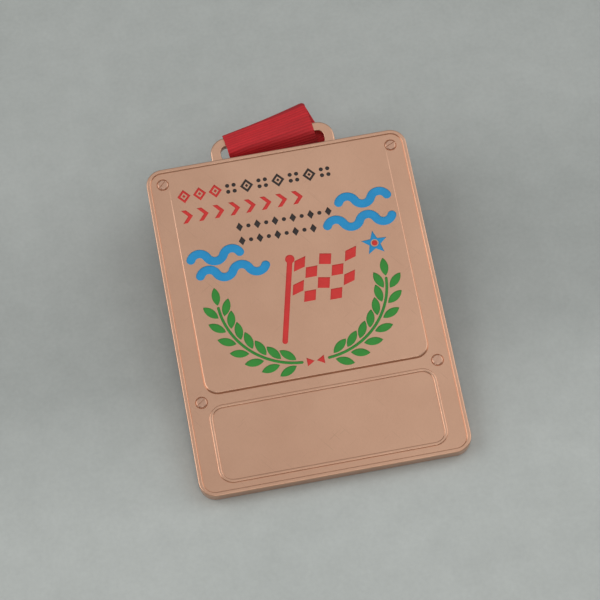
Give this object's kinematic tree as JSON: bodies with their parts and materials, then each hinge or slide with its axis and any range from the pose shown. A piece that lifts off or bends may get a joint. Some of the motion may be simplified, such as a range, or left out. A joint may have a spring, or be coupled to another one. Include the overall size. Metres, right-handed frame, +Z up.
{
  "type": "sports finisher medal",
  "caption": "Rectangular copper-coloured finisher medal with an enamelled emblem panel, a blank name panel and corner screws, leaning on its folded red neck ribbon.",
  "frame": {"origin": "on the surface that the medal lies on, under the middle of its whole width and length, ribbon fold included", "axes": "+X to the right of the face, +Y from the lower edge to the ribbon loop, +Z up; the face is tilted 10 degrees, upper edge raised, because the plates lean on the folded ribbon"},
  "size_m": [0.065, 0.0957, 0.0191],
  "materials": {
    "rose_metal": "satin copper plating",
    "screw_metal": "polished copper plating",
    "enamel_red": "soft enamel, semi-gloss",
    "enamel_blue": "soft enamel, semi-gloss",
    "enamel_green": "soft enamel, semi-gloss",
    "enamel_dark": "soft enamel, semi-gloss",
    "ribbon_red": "grosgrain weave"
  },
  "bodies": {
    "medal": {"back_plate": "rose_metal", "enamel_flag_cells": "enamel_red", "enamel_flag_pole": "enamel_red", "enamel_frieze_four_dark": "enamel_dark", "enamel_frieze_one_dark": "enamel_dark", "enamel_frieze_one_red": "enamel_red", "enamel_frieze_three_dark": "enamel_dark", "enamel_frieze_two_red": "enamel_red", "enamel_laurel_left_leaves": "enamel_green", "enamel_laurel_left_stem": "enamel_green", "enamel_laurel_right_leaves": "enamel_green", "enamel_laurel_right_stem": "enamel_green", "enamel_laurel_tie": "enamel_red", "enamel_star": "enamel_blue", "enamel_star_centre": "enamel_red", "enamel_wave_left_lower": "enamel_blue", "enamel_wave_left_upper": "enamel_blue", "enamel_wave_right_lower": "enamel_blue", "enamel_wave_right_upper": "enamel_blue", "front_plate": "rose_metal", "ribbon_fold": "ribbon_red", "screw_low_left": "screw_metal", "screw_low_right": "screw_metal", "screw_top_left": "screw_metal", "screw_top_right": "screw_metal"},
    "ribbon": {"ribbon_hank": "ribbon_red"}
  },
  "joints": [
    {"name": "ribbon_swing", "type": "hinge", "parent": "medal", "child": "ribbon", "pos_m": [0, 0.0403, 0.01636], "axis": [1, 0, 0], "range_deg": [0, 180]}
  ]
}
